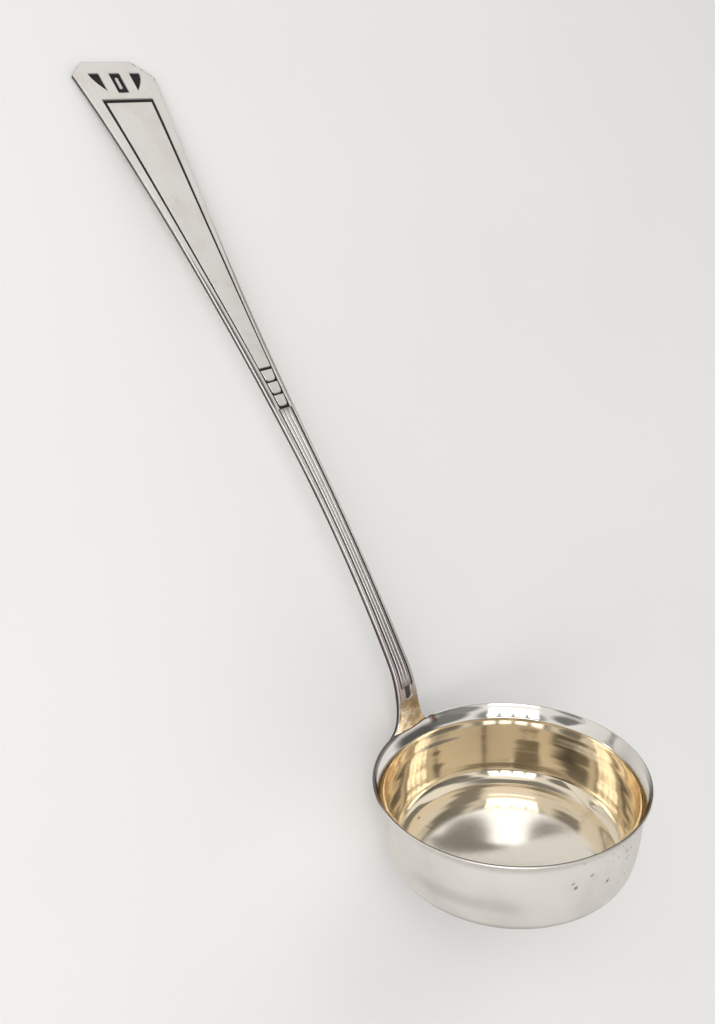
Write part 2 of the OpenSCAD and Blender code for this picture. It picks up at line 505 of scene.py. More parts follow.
class Tree:
    """A node tree under construction."""

    def __init__(self, tree: bpy.types.NodeTree) -> None:
        """Takes over a tree."""
        self.tree = tree

    def node(self, kind: str, settings: dict, values: dict, output: int | str = 0) -> Number:
        """Adds one node.

        Args:
            kind: Type of the node.
            settings: Its properties, set first.
            values: Values or Numbers for its inputs, by name or number.
            output: Which output to return.

        Returns:
            The output as a Number.
        """
        made = self.tree.nodes.new(kind)
        for key, value in settings.items():
            setattr(made, key, value)
        for key, value in values.items():
            self.feed(made.inputs[key], value)
        return Number(self, made.outputs[output])

    def feed(self, socket: bpy.types.NodeSocket, value: object) -> None:
        """Links or sets one input socket.

        Args:
            socket: The input.
            value: A Number to link, or a value to set.
        """
        if isinstance(value, Number):
            self.tree.links.new(value.socket, socket)
        elif isinstance(value, tuple) and len(value) == 3 and socket.type == "RGBA":
            socket.default_value = (*value, 1.0)
        else:
            socket.default_value = value

    def mix(self, factor: Term, first: Number | Colour, second: Number | Colour) -> Number:
        """Mixes two colours."""
        settings = {"data_type": "RGBA"}
        return self.node("ShaderNodeMix", settings, {0: factor, 6: first, 7: second}, 2)


class Shader(Tree):
    """A material's node tree under construction."""

    def __init__(self, name: str) -> None:
        """Starts an empty material with a Principled shader."""
        self.material = bpy.data.materials.new(name)
        self.material.use_nodes = True
        super().__init__(self.material.node_tree)
        self.surface = self.tree.nodes["Principled BSDF"]

    def value(self, name: str) -> Number:
        """A number that the mesh carries at each point."""
        return self.node("ShaderNodeAttribute", {"attribute_name": name}, {}, "Fac")

    def place(self, name: str, scale: tuple[float, float, float]) -> Number:
        """A place that the mesh carries at each point, stretched along its axes."""
        vector = self.node("ShaderNodeAttribute", {"attribute_name": name}, {}, "Vector")
        return self.node("ShaderNodeVectorMath", {"operation": "MULTIPLY"}, {0: vector, 1: scale})

    def noise_at(self, place: Number, grain: Grain) -> Number:
        """Soft noise at a place.

        Args:
            place: The place.
            grain: Sizes of the noise.

        Returns:
            The noise, from 0 to 1.
        """
        values = {"Vector": place, "Scale": grain.scale}
        values |= {"Detail": grain.detail, "Roughness": grain.rough}
        return self.node("ShaderNodeTexNoise", {}, values, "Fac")

    def noise(self, name: str, grain: Grain) -> Number:
        """Soft noise over a place that the mesh carries."""
        return self.noise_at(self.place(name, grain.stretch), grain)

    def specks(self, place: Number, scale: float) -> Number:
        """Distance to the nearest of many scattered points."""
        return self.node("ShaderNodeTexVoronoi", {}, {"Vector": place, "Scale": scale}, "Distance")

    def bump(self, height: Number, depth: float, strength: float) -> None:
        """Feeds a height in units of depth metres to the surface's normal."""
        values = {"Height": height, "Distance": depth, "Strength": strength}
        self.feed(self.surface.inputs["Normal"], self.node("ShaderNodeBump", {}, values, "Normal"))

    def surface_is(self, **values: object) -> None:
        """Sets or links inputs of the Principled shader, with underscores for spaces."""
        for key, value in values.items():
            self.feed(self.surface.inputs[key.replace("_", " ")], value)


@dataclass(frozen=True)
class WornSilver:
    """Satin silver with fine scratches and blackened engraving, its flanks tarnished and darkened
    further with painted dark reflection, a painted shade line along their bottom, a painted dark
    reflection on the left bevel and a painted mauve reflection tint on the neck.
    """

    name: str = "worn_silver"
    metal: Colour = (0.80, 0.785, 0.755)
    warm: Colour = (0.72, 0.68, 0.62)
    # Tarnish, also used as the painted dark reflection on the flanks
    tarnish_and_dark_reflection: Colour = (0.26, 0.20, 0.19)
    black: Colour = (0.022, 0.018, 0.022)
    # Painted shade line along the bottom of the side faces
    line: Colour = (0.03, 0.024, 0.026)
    # Painted dark reflection on the left bevel
    bevel: Colour = (0.14, 0.112, 0.116)
    spill: Colour = (0.46, 0.35, 0.20)
    # Painted mauve reflection tint on the neck
    mauve_reflection: Colour = (0.36, 0.28, 0.285)
    warm_at: Span = (0.42, 0.72)
    warm_share: float = 0.5
    dark_least: float = 0.25
    dark_at: Span = (0.3, 0.65)
    dark_share: float = 0.4
    dark_neck: float = 0.5
    spill_at: Span = (0.46, 0.56)
    spill_share: float = 0.6
    mauve_share: float = 0.45
    line_share: float = 0.95
    bevel_reflection_at: Span = (0.08, 0.4)
    bevel_reflection_share: float = 0.88
    speck_scale: float = 0.42
    speck_at: Span = (0.14, 0.05)
    speck_share: float = 0.4
    chip_at: Span = (0.5, 0.54)
    roughness: float = 0.24
    scratch_rough: float = 0.10
    cloud_rough: float = 0.06
    foot_polish: float = 0.17
    black_rough: float = 0.3
    black_dull: float = 0.55
    scratch_depth: float = 0.00002
    scratch_strength: float = 0.35
    scratches: Grain = Grain((0.25, 9.0, 9.0), 1.0, 4.0, 0.6)
    clouds: Grain = Grain(EVEN, 0.09, 3.0, 0.55)
    grain: Grain = Grain(EVEN, 2.2, 3.0, 0.6)
    spills: Grain = Grain(EVEN, 0.28, 3.0, 0.6)
    chips: Grain = Grain(EVEN, 0.9, 2.0, 0.6)

    def make(self) -> bpy.types.Material:
        """Builds the material.

        Returns:
            The finished material.
        """
        s = Shader(self.name)
        scratches = s.noise("lay", self.scratches)
        clouds = s.noise("lay", self.clouds)
        grain = s.noise("lay", self.grain)
        blacking, flank, edge = (s.value(key) for key in ("blacking", "flank", "edge"))
        neck, foot = s.value("neck"), s.value("foot")
        base = s.mix(clouds.step(*self.warm_at) * self.warm_share, self.metal, self.warm)
        # Flanks: tarnish with painted dark reflection over it, stronger near the neck.
        dark = self.dark_least + clouds.step(*self.dark_at) * self.dark_share
        dark = dark + neck * self.dark_neck
        base = s.mix(flank * dark.least(1.0) * (1 - edge), base, self.tarnish_and_dark_reflection)
        spill = s.noise("lay", self.spills).step(*self.spill_at)
        base = s.mix(foot * spill * self.spill_share, base, self.spill)
        # Painted mauve reflection tint on the neck, above the foot.
        base = s.mix((neck - foot).most(0.0) * self.mauve_share, base, self.mauve_reflection)
        # Painted shade: a dark line along the bottom of each side face.
        base = s.mix(s.value("foot_line") * self.line_share, base, self.line)
        # Painted dark reflection on the left bevel of the front.
        base = s.mix(s.value("bevel").step(*self.bevel_reflection_at) * self.bevel_reflection_share, base, self.bevel)
        specks = s.specks(s.place("lay", EVEN), self.speck_scale).step(*self.speck_at)
        base = s.mix(specks * self.speck_share, base, self.tarnish_and_dark_reflection)
        nick = s.value("nick") * s.noise("lay", self.chips).step(*self.chip_at)
        base = s.mix((blacking + nick).least(1.0), base, self.black)
        rough = self.roughness + scratches * self.scratch_rough + clouds * self.cloud_rough
        rough = rough - foot * self.foot_polish
        s.surface_is(Base_Color=base, Roughness=rough + blacking * self.black_rough)
        s.surface_is(Metallic=1 - blacking * self.black_dull)
        s.bump(scratches * 0.6 + grain * 0.4, self.scratch_depth, self.scratch_strength)
        return s.material


@dataclass(frozen=True)
class GiltSilver:
    """Polished gilding inside, satin silver outside, pits and smears, a dark rim line of tarnish
    partly painted as dark reflection, and a painted contact shadow on the heel.
    """

    name: str = "gilt_silver"
    silver: Colour = (0.79, 0.765, 0.72)
    smear: Colour = (0.47, 0.44, 0.42)
    # Painted contact shadow at the bottom of the heel
    heel_shadow: Colour = (0.22, 0.185, 0.15)
    gilt: Colour = (0.83, 0.725, 0.56)
    pale: Colour = (0.85, 0.81, 0.735)
    pit: Colour = (0.03, 0.022, 0.02)
    solder: Colour = (0.22, 0.10, 0.06)
    # Dark rim line: partly tarnish, partly painted dark reflection
    line: Colour = (0.10, 0.075, 0.065)
    form: BowlForm = BowlForm()
    pale_floor: float = 0.75
    pale_cloud: float = 0.3
    smear_at: Span = (0.4, 0.75)
    smear_share: float = 0.3
    smear_least: float = 0.1
    heel_shadow_share: float = 0.8
    speck_scale: float = 0.6
    speck_at: Span = (0.17, 0.09)
    solder_at: Span = (0.3, 0.5)
    outer_roughness: float = 0.3
    cloud_rough: float = 0.12
    inner_roughness: float = 0.07
    scratch_at: Span = (0.45, 0.75)
    scratch_rough: float = 0.06
    floor_rough: float = 0.03
    grain_depth: float = 0.0000025
    turning: Grain = Grain((14.0, 0.02, 1.0), 1.0, 3.0, 0.6)
    clouds: Grain = Grain(EVEN, 0.055, 4.0, 0.55)
    grain: Grain = Grain(EVEN, 1.6, 4.0, 0.6)
    scratches: Grain = Grain((0.25, 2.4, 1.0), 1.0, 3.0, 0.7)

    def make(self) -> bpy.types.Material:
        """Builds the material.

        Returns:
            The finished material.
        """
        s = Shader(self.name)
        inner = s.value("inner")
        clouds, grain = s.noise("spot", self.clouds), s.noise("spot", self.grain)
        base = s.mix(inner, self._outside(s, clouds), self._gilding(s, clouds))
        specks = s.specks(s.place("spot", EVEN), self.speck_scale).step(*self.speck_at)
        base = s.mix((s.value("pits") * specks).most(s.value("pit")), base, self.pit)
        # Dark rim line, partly tarnish and partly painted dark reflection.
        base = s.mix(s.value("rim_tarnish_and_shade"), base, self.line)
        base = s.mix(s.value("solder") * grain.step(*self.solder_at), base, self.solder)
        scratches = s.noise("spot", self.scratches).step(*self.scratch_at) * self.scratch_rough
        inside_rough = self.inner_roughness + scratches + s.value("floor") * self.floor_rough
        outside_rough = self.outer_roughness + clouds * self.cloud_rough
        s.surface_is(Metallic=1.0, Base_Color=base)
        s.surface_is(Roughness=outside_rough * (1 - inner) + inside_rough * inner)
        turned = s.noise("lay", self.turning)
        s.bump(self._sheen(s) * inner + (turned + grain) * self.grain_depth, 1.0, 1.0)
        return s.material

    def _gilding(self, s: Shader, clouds: Number) -> Number:
        """Colour inside: gilt on the wall, paler on the floor, plain silver on the lip."""
        pale = (s.value("floor") * self.pale_floor + clouds * self.pale_cloud).least(1.0)
        return s.mix(s.value("lip"), s.mix(pale, self.gilt, self.pale), self.silver)

    def _outside(self, s: Shader, clouds: Number) -> Number:
        """Colour outside: smeared silver, darkened at the bottom of the heel by a painted contact
        shadow.

        Args:
            s: The material's tree.
            clouds: Soft noise.

        Returns:
            The colour.
        """
        smeared = clouds.step(*self.smear_at) * self.smear_share + self.smear_least
        colour = s.mix(smeared, self.silver, self.smear)
        colour = s.mix(s.value("smear"), colour, self.smear)
        # Painted contact shadow darkens the bottom of the heel.
        return s.mix(s.value("heel") * self.heel_shadow_share, colour, self.heel_shadow)

    def _sheen(self, s: Shader) -> Number:
        """Height in metres that makes the floor mirror the room like a deeper dish.

        Args:
            s: The material's tree.

        Returns:
            The height.
        """
        flat = s.place("spot", (1.0, 1.0, 0.0))
        settings = {"operation": "DOT_PRODUCT"}
        reach = s.node("ShaderNodeVectorMath", settings, {0: flat, 1: flat}, "Value")
        rise = 1 - (reach / self.form.heel_x**2).least(1.0)
        return rise * rise * (-self.form.dish_sheen * MM)


@dataclass(frozen=True)
class Solder:
    """The dark line of solder where the handle meets the lip."""

    name: str = "solder"
    colour: Colour = (0.10, 0.06, 0.045)
    light: Colour = (0.2, 0.15, 0.12)
    metallic: float = 0.8
    roughness: float = 0.4
    cloud_rough: float = 0.2
    clouds: Grain = Grain(EVEN, 1.5, 3.0)

    def make(self) -> bpy.types.Material:
        """Builds the material.

        Returns:
            The finished material.
        """
        s = Shader(self.name)
        clouds = s.noise("lay", self.clouds)
        s.surface_is(Base_Color=s.mix(clouds, self.colour, self.light), Metallic=self.metallic)
        s.surface_is(Roughness=self.roughness + clouds * self.cloud_rough)
        return s.material


@dataclass(frozen=True)
class TableCloth:
    """A pale cloth, almost plain."""

    name: str = "table_cloth"
    white: Colour = (0.92, 0.915, 0.905)
    shade: Colour = (0.89, 0.885, 0.875)
    shade_at: Span = (0.35, 0.7)
    roughness: float = 0.9
    gloss: float = 0.2
    clouds: Grain = Grain(EVEN, 4.0, 3.0)

    def make(self) -> bpy.types.Material:
        """Builds the material.

        Returns:
            The finished material.
        """
        s = Shader(self.name)
        clouds = s.noise_at(s.node("ShaderNodeTexCoord", {}, {}, "Object"), self.clouds)
        s.surface_is(Base_Color=s.mix(clouds.step(*self.shade_at), self.white, self.shade))
        s.surface_is(Roughness=self.roughness, Specular_IOR_Level=self.gloss)
        return s.material


@dataclass(frozen=True)
class Bowl:
    """The spun bowl with its flared lip."""

    form: BowlForm = BowlForm()
    around: int = 288
    base_count: int = 14
    belly_count: int = 46
    heel_count: int = 30
    rim_count: int = 15
    rim_from: float = -20.0
    cone_count: int = 8
    # Keeps the rounded mesh inside the source's faceted box
    fit: float = 0.9995
    ripple: float = 0.04
    ripple_fine: float = 0.2
    ripple_runs: Span = (6.2, 2.5)
    ripple_levels: Span = (4.0, -1.5)
    ripple_fade: float = 3.0
    rim_line: Span = (-0.75, -0.5)
    rim_line_in: Span = (-0.9, -0.6)
    front_mid: float = 130.0
    front_fade: Span = (-104.0, -76.0)
    left_mid: float = 36.0
    left_fade: Span = (-34.0, -22.0)
    line_shares: tuple[float, float, float] = (0.8, 0.92, 0.85)
    pit_fade: Span = (-1.5, -0.6)
    shell_at: Span = (0.6, 1.4)
    back_mid: float = -170.0
    back_fade: Span = (-26.0, -8.0)
    pits_levels: tuple[float, float, float] = (-20.0, -3.0, 6.0)
    heel_shadow_levels: Span = (24.5, 28.0)
    smear_levels: tuple[float, float, float] = (-19.5, -15.0, 4.0)
    smear_angles: tuple[float, float, float] = (84.0, 130.0, 16.0)
    smear_share: float = 0.45
    solder_levels: Span = (-2.6, -1.2)
    solder_past: float = 1.4
    solder_fade: Span = (-1.6, -0.6)
    # Dark pits outside: angle in degrees, height, radius
    outer_pits: tuple[tuple[float, float, float], ...] = (
        (158.0, -4.3, 0.35), (161.7, -9.3, 0.41), (165.7, -8.1, 0.27), (169.8, -14.3, 0.43),
        (152.1, -10.2, 0.35), (153.4, -12.0, 0.49), (163.0, -9.9, 0.27), (164.2, -9.2, 0.27),
        (-177.0, -8.4, 0.41), (-177.1, -11.2, 0.35), (-177.8, -17.2, 0.27), (-169.3, -21.3, 0.27),
        (-178.3, -7.1, 0.30),
    )
    # Dark pits on the floor: x, y, radius
    floor_pits: tuple[tuple[float, float, float], ...] = (
        (26.9, 7.2, 0.4), (27.1, 9.6, 0.35), (33.0, 8.4, 0.4),
        (-15.9, -25.4, 0.35), (12.0, 3.0, 0.25),
    )

    def profile(self) -> tuple[np.ndarray, np.ndarray]:
        """The closed profile, from the middle of the base round the rim to the middle of the floor.

        Returns:
            Points of radius and height, and 1 for each point inside the bowl.
        """
        f = self.form
        inner = f.belly_curve - f.wall
        flat = np.linspace(0.02, 1.0, self.base_count)[:-1, None] * np.array([[f.heel_x, 0.0]])
        bends = (f.belly_x, -f.belly_depth)
        belly = arc(*bends, f.belly_curve, f.heel_from, f.crease(f.belly_curve), self.belly_count)
        belly_in = arc(*bends, inner, f.crease(inner), f.heel_from, self.belly_count)
        half = f.lip_edge / 2
        rim = arc(f.rim_r - half, -half, half, self.rim_from, f.rim_end, self.rim_count)
        crown = self.rim_count // 2 + 1
        out_edge = rounded(belly[-2], belly[-1], rim[0], f.crease_reach)
        in_edge = rounded(rim[-1], belly_in[0], belly_in[1], f.crease_reach)
        heel = arc(f.heel_x, f.heel_z, f.heel_r, -90, f.heel_from, self.heel_count)
        heel_in = arc(f.heel_x, f.heel_z, f.heel_r - f.wall, f.heel_from, -90, self.heel_count)
        out = np.vstack([
            flat + np.array([[0.0, -f.height]]),
            heel[:-1],
            belly[:-1][np.linalg.norm(belly[:-1] - belly[-1], axis=1) > f.crease_reach],
            out_edge,
            self._between(out_edge[-1], rim[0]),
            rim[:crown],
        ])
        into = np.vstack([
            rim[crown:],
            self._between(rim[-1], in_edge[0]),
            in_edge,
            belly_in[1:][np.linalg.norm(belly_in[1:] - belly_in[0], axis=1) > f.crease_reach],
            heel_in[1:],
            flat[::-1] + np.array([[0.0, f.wall - f.height]]) - self._sag(flat[::-1]),
        ])
        points = np.vstack([out, into])
        points[:, 0] -= f.lip_hollow(points[:, 1])
        return points, np.repeat([0.0, 1.0], [len(out), len(into)])

    def _sag(self, flat: np.ndarray) -> np.ndarray:
        """How far the floor sinks below the flat towards the axis."""
        drop = self.form.dish * (1 - (flat[:, :1] / self.form.heel_x) ** 2) ** 2
        return np.hstack([0 * drop, drop])

    def _ripple(self, run: np.ndarray, turn: np.ndarray) -> np.ndarray:
        """Faint ripples that spinning left in the wall.

        Args:
            run: Distances along the profile.
            turn: Angles round the axis.

        Returns:
            Distances that the inner wall stands out of true.
        """
        wide = np.sin(2 * math.pi * run / self.ripple_runs[0] + 0.9 * np.sin(2 * turn + 0.5))
        fine = np.sin(2 * math.pi * run / self.ripple_runs[1] + 1.2 * np.sin(3 * turn))
        return self.ripple * (wide + self.ripple_fine * fine)

    def _rim_tarnish_and_shade(self, height: np.ndarray, into: np.ndarray, degrees: np.ndarray) -> np.ndarray:
        """The dark line along the rim, partly tarnish and partly painted dark reflection, which
        runs from its outer to its inner edge, with a painted dark band over the rim on the left.

        Args:
            height: Heights of the points.
            into: 1 for the points inside the bowl.
            degrees: Their angles round the axis.

        Returns:
            How dark the line is at each point.
        """
        outer = (1 - into) * smooth(height, *self.rim_line)
        inner = into * smooth(height, *self.rim_line_in)
        front = smooth(-self._away(degrees, self.front_mid), *self.front_fade)
        left = smooth(-self._away(degrees, self.left_mid), *self.left_fade)
        left = left * smooth(height, *self.rim_line_in)
        far, near, side = self.line_shares
        return np.maximum(outer * (1 - front) * far + inner * front * near, left * side)

    @staticmethod
    def _away(degrees: np.ndarray, middle: float) -> np.ndarray:
        """Angles between the points and a direction, from 0 to 180 degrees."""
        return np.abs((degrees - middle + 180) % 360 - 180)

    def _between(self, start: np.ndarray, end: np.ndarray) -> np.ndarray:
        """Points strictly between two points."""
        return start + (end - start) * np.linspace(0, 1, self.cone_count + 2)[1:-1, None]

    def _pits(self, x: np.ndarray, y: np.ndarray, z: np.ndarray, shell: np.ndarray,
              into: np.ndarray) -> np.ndarray:
        """The single dark pits outside and on the floor.

        Args:
            x: X of the points.
            y: Y of the points.
            z: Heights of the points.
            shell: 1 for the points on the outer wall.
            into: 1 for the points inside the bowl.

        Returns:
            How far each point lies in a pit, from 0 to 1.
        """
        f = self.form
        pit = np.zeros_like(x)
        degrees = np.degrees(np.arctan2(y, x))
        start, full = self.pit_fade
        for angle, level, size in self.outer_pits:
            gap = self._away(degrees, angle) * math.pi / 180 * f.belly_r
            near = smooth(-np.hypot(gap, z - level), size * start, size * full)
            pit = np.maximum(pit, shell * near)
        floor = into * smooth(-z, f.height - f.wall - 0.6, f.height - f.wall - 0.1)
        for px, py, size in self.floor_pits:
            near = smooth(-np.hypot(x - px, y - py), size * start, size * full)
            pit = np.maximum(pit, floor * near)
        return pit

    def build(self, lie: Lie, contact: float) -> bpy.types.Object:
        """Makes the bowl's mesh.

        Args:
            lie: How the ladle lies.
            contact: Half width of the handle's foot at the rim.

        Returns:
            The bowl.
        """
        f = self.form
        profile, inner = self.profile()
        turn = np.linspace(-math.pi, math.pi, self.around, endpoint=False)
        radius, z = profile[:, :1], profile[:, 1:]
        run = np.concatenate([[0.0], np.cumsum(np.linalg.norm(np.diff(profile, axis=0), axis=1))])
        low, high = self.ripple_levels[0] - f.height, self.ripple_levels[1] - f.lip_h
        wall = inner[:, None] * inside(z, low, high, self.ripple_fade)
        radius = radius * self.fit + wall * self._ripple(run[:, None], turn)
        x, y = radius * np.cos(turn), radius * np.sin(turn)
        ones = np.ones_like(x)
        height, into, degrees = z * ones, inner[:, None] * ones, np.degrees(turn)[None, :] * ones
        points = np.stack([x, y, height], -1)
        shell = (1 - into) * smooth(-height, *self.shell_at)
        back = smooth(-self._away(degrees, self.back_mid), *self.back_fade)
        smear = inside(height, *self.smear_levels) * inside(degrees, *self.smear_angles)
        beside = smooth(-np.abs(y + contact + self.solder_past), *self.solder_fade) * (x > 0)
        values = {
            "inner": into,
            "lip": into * smooth(height, -f.lip_h - 0.2, -f.lip_h + 0.5),
            "floor": into * smooth(-radius * ones, -f.heel_x - 1.5, -f.heel_x + 2.5),
            # Mask of the dark rim line, partly tarnish, partly painted dark reflection.
            "rim_tarnish_and_shade": self._rim_tarnish_and_shade(height, into, degrees),
            "pit": self._pits(x, y, height, shell, into),
            "pits": shell * back * inside(height, *self.pits_levels),
            # Mask of the painted contact shadow at the bottom of the heel.
            "heel": shell * smooth(-height, *self.heel_shadow_levels),
            "smear": shell * smear * self.smear_share,
            "solder": into * smooth(height, *self.solder_levels) * beside,
            "lay": np.stack([run[:, None] * ones, degrees, 0 * ones], -1),
            "spot": points,
        }
        return Skin("bowl_spun", lie.place(points), values).build()


@dataclass(frozen=True)
class Engraving:
    """Sizes of the engraved ornament on the handle's front."""

    depth: float = 0.4
    frame_groove: float = 1.3
    ladder_groove: float = 0.5
    border_low: float = 2.35
    border_gain: float = 7.8
    bar_at: float = 16.2
    bar_w: float = 1.5
    ladder_at: float = 129.2
    cells: int = 3
    cell_pitch: float = 5.0
    ladder_bar: float = 0.7
    recess_at: float = 5.0
    recess_len: float = 8.3
    leaf_short: float = 0.8
    recess_w: float = 4.7
    wedge_w: float = 4.5
    recess_gap: float = 4.2
    panel_share: float = 0.62
    panel_groove: float = 0.7
    reed_split: float = 0.31
    panel_foot: float = 17.6
    pit_len: float = 4.6
    pit_w: float = 2.9
    pit_depth: float = 0.8
    bevel_drop: float = 0.5
    bevel_part: float = 0.68
    bevel_top: float = 0.72
    wall: float = 0.16
    recess_deep: float = 1.5
    leaf_bow: float = 1.6
    bead_len: float = 0.62
    bead_w: float = 0.3
    bead_keep: float = 0.85
    tongue_narrow: float = 0.14
    tongue_round: float = 0.55
    reed_point: Span = (3.0, 2.0)
    reed_sunk: float = 0.8
    reed_deep: float = 0.9
    pit_point: float = 0.2
    pit_walls: Span = (0.25, 0.12)
    bevel_least: float = 0.12
    bevel_bow: float = 1.4
    # From which depth the blacking shows, and how black it gets
    black_at: Span = (0.25, 0.8)
    pit_at: Span = (0.3, 0.8)
    valley_at: Span = (0.3, 0.85)
    top_bar: Span = (-0.55, 0.6)
    part_black: float = 0.85
    reed_black: float = 0.95
    sunk_black: float = 0.5

    def levels(self, form: HandleForm) -> dict[str, float]:
        """Places of the ornament's parts along the handle.

        Args:
            form: Sizes of the handle.

        Returns:
            Distances from the foot.
        """
        ladder = form.reach - self.ladder_at
        return {
            "recess": form.reach - self.recess_at,
            "bar": form.reach - self.bar_at,
            "ladder": ladder,
            "panel": ladder - self.cells * self.cell_pitch - self.ladder_bar,
        }

    def frame_half(self, form: HandleForm, s: np.ndarray) -> np.ndarray:
        """Distance of the frame's side grooves from the middle."""
        gain = np.maximum(0.0, form.opening(s) - 0.5) * 2
        return form.half_w(s) - self.border_low - self.border_gain * gain**2 / 2

    def panel_half(self, form: HandleForm, s: np.ndarray) -> np.ndarray:
        """Distance of the panel's outer grooves from the middle."""
        return form.half_w(s) * self.panel_share

    def groove_w(self, form: HandleForm, s: np.ndarray) -> np.ndarray:
        """Width of the frame's side grooves.

        Args:
            form: Sizes of the handle.
            s: Distances from the foot.

        Returns:
            Widths.
        """
        at = self.levels(form)
        share = np.clip((s - at["ladder"]) / (at["bar"] - at["ladder"]), 0, 1)
        return self.ladder_groove + (self.frame_groove - self.ladder_groove) * share

    def bevel(self, form: HandleForm, s: np.ndarray, y: np.ndarray) -> np.ndarray:
        """How far down the bevel of the front's edges a point lies.

        Args:
            form: Sizes of the handle.
            s: Distances from the foot.
            y: Distances from the middle, with the side's sign.

        Returns:
            0 on the flat front, up to the bevel's strength at the edge.
        """
        at = self.levels(form)
        rim = np.where(y > 0, form.side_w(s, Side.LEFT), form.side_w(s, Side.RIGHT))
        frame = self.frame_half(form, s) + self.groove_w(form, s) / 2
        panel = self.panel_half(form, s) + self.panel_groove / 2
        upper = smooth(s, at["panel"], at["panel"] + 3)
        line = panel + (frame - panel) * upper
        line = np.where(s > at["bar"], np.maximum(line, rim * 0.6), line)
        ends = np.clip((self.bevel_top - form.opening(s)) * 5, 0, 1)
        strength = np.maximum(np.clip(s / self.panel_foot, 0, 1) * ends, self.bevel_least)
        run = np.maximum((rim - line) * self.bevel_part * strength, 0.05)
        return strength * np.clip((np.abs(y) - rim + run) / run, 0, 1) ** self.bevel_bow

    def edges(self, form: HandleForm, s: float) -> list[float]:
        """Distances from the middle at which the mesh needs close columns.

        Args:
            form: Sizes of the handle.
            s: Distance from the foot.

        Returns:
            Distances of the steps at this place.
        """
        at = self.levels(form)
        here = np.array([s])
        if s > at["bar"] + 0.3:
            middle, near = self.recess_w / 2, self.recess_w / 2 + self.recess_gap
            share = min(max((at["recess"] - s) / (self.recess_len - self.leaf_short), 0.0), 1.0)
            leaf = self.wedge_w * (1 - share**self.leaf_bow)
            return [middle * 0.35, middle, near, near + leaf]
        if s > at["panel"]:
            half = float(self.frame_half(form, here)[0])
            groove = float(self.groove_w(form, here)[0])
            pads = [half * 0.5] if s < at["ladder"] + 0.5 else []
            return [half - groove / 2, half + groove / 2, *pads]
        if s > self.panel_foot - self.pit_len - 0.5:
            half, groove = float(self.panel_half(form, here)[0]), self.panel_groove
            return [half * self.reed_split, half - groove / 2, half + groove / 2]
        return [self.pit_w / 2]

    def _over(self, gap: np.ndarray) -> np.ndarray:
        """1 where a distance is over 0, with a step as soft as a groove's wall."""
        return smooth(gap, -self.wall / 2, self.wall / 2)

    def relief(
        self, form: HandleForm, s: np.ndarray, y: np.ndarray
    ) -> tuple[np.ndarray, np.ndarray]:
        """Depth of the front below its plain surface, and how black it is.

        Args:
            form: Sizes of the handle.
            s: Distances from the foot.
            y: Distances from the middle.

        Returns:
            Depth in millimetres, and blackness from 0 to 1.
        """
        at, w = self.levels(form), self.wall
        ay = np.abs(y)
        half, groove = self.frame_half(form, s), self.groove_w(form, s)
        within = self._over(half + groove / 2 - ay)
        lines = inside(ay, half - groove / 2, half + groove / 2, w)
        lines = lines * inside(s, at["ladder"] - 0.2, at["bar"], w)
        bar = inside(s, at["bar"] - self.bar_w, at["bar"], w) * within
        frame = np.maximum.reduce([lines, bar, self._ladder(form, s, ay)])
        recess = self._recesses(form, s, ay)
        reeds, reed_black = self._reeds(form, s, ay)
        pit = self._pit(s, ay)
        sunk = [
            frame * self.depth,
            recess * self.depth * self.recess_deep,
            reeds,
            pit * self.pit_depth,
            self.bevel(form, s, y) * self.bevel_drop,
        ]
        low, high = self.top_bar
        top_bar = inside(s, at["ladder"] + low, at["ladder"] + high, w) * within
        black = [
            smooth(frame, *self.black_at),
            smooth(recess, *self.black_at),
            top_bar * self.part_black,
            reed_black,
            smooth(pit, *self.pit_at) * self.part_black,
        ]
        return np.maximum.reduce(sunk), np.maximum.reduce(black)

    def _ladder(self, form: HandleForm, s: np.ndarray, ay: np.ndarray) -> np.ndarray:
        """The sunk strip of the ladder with a tongue left standing in each cell.

        Args:
            form: Sizes of the handle.
            s: Distances from the foot.
            ay: Distances from the middle, without sign.

        Returns:
            1 where the strip is sunk, 0 elsewhere.
        """
        at = self.levels(form)
        half, groove = self.frame_half(form, s), self.groove_w(form, s)
        sunk = inside(s, at["panel"], at["ladder"] + self.ladder_bar / 2, self.wall)
        sunk = sunk * self._over(half + groove / 2 - ay)
        pads = np.zeros_like(s)
        length = self.cell_pitch - self.ladder_bar
        for cell in range(self.cells):
            top = at["ladder"] - cell * self.cell_pitch - self.ladder_bar / 2
            share = np.clip((top - s) / length, 0, 1)
            wide = (half - groove / 2) * (1 - self.tongue_narrow * share)
            curl = wide * self.tongue_round
            low = top - length + curl
            beyond = np.maximum(0.0, low - s)
            side = np.maximum(0.0, ay - (wide - curl))
            body = np.where(s < low, curl - np.hypot(beyond, side), wide - ay)
            pad = self._over(body) * self._over(top - s) * self._over(s - (top - length - 0.1))
            pads = np.maximum(pads, pad)
        return np.maximum(sunk - pads, 0.0)

    def _recesses(self, form: HandleForm, s: np.ndarray, ay: np.ndarray) -> np.ndarray:
        """Two leaf-shaped recesses and a straight one with a bead left standing.

        Args:
            form: Sizes of the handle.
            s: Distances from the foot.
            ay: Distances from the middle, without sign.

        Returns:
            1 in the recesses, 0 elsewhere.
        """
        top, w = self.levels(form)["recess"], self.wall
        near = self.recess_w / 2 + self.recess_gap
        leaf_len = self.recess_len - self.leaf_short
        share = np.clip((top - s) / leaf_len, 0, 1)
        leaf = inside(ay, near, near + self.wedge_w * (1 - share**self.leaf_bow), w)
        leaf = leaf * inside(s, top - leaf_len, top, w)
        straight = inside(s, top - self.recess_len, top, w) * self._over(self.recess_w / 2 - ay)
        bead_l, bead_w = self.recess_len * self.bead_len, self.recess_w * self.bead_w
        beyond = np.abs(s - (top - self.recess_len / 2)) - (bead_l - bead_w) / 2
        bead = smooth(bead_w / 2 - np.hypot(np.maximum(0.0, beyond), ay), -0.2, 0.25)
        return np.maximum(leaf, straight * (1 - bead * self.bead_keep))

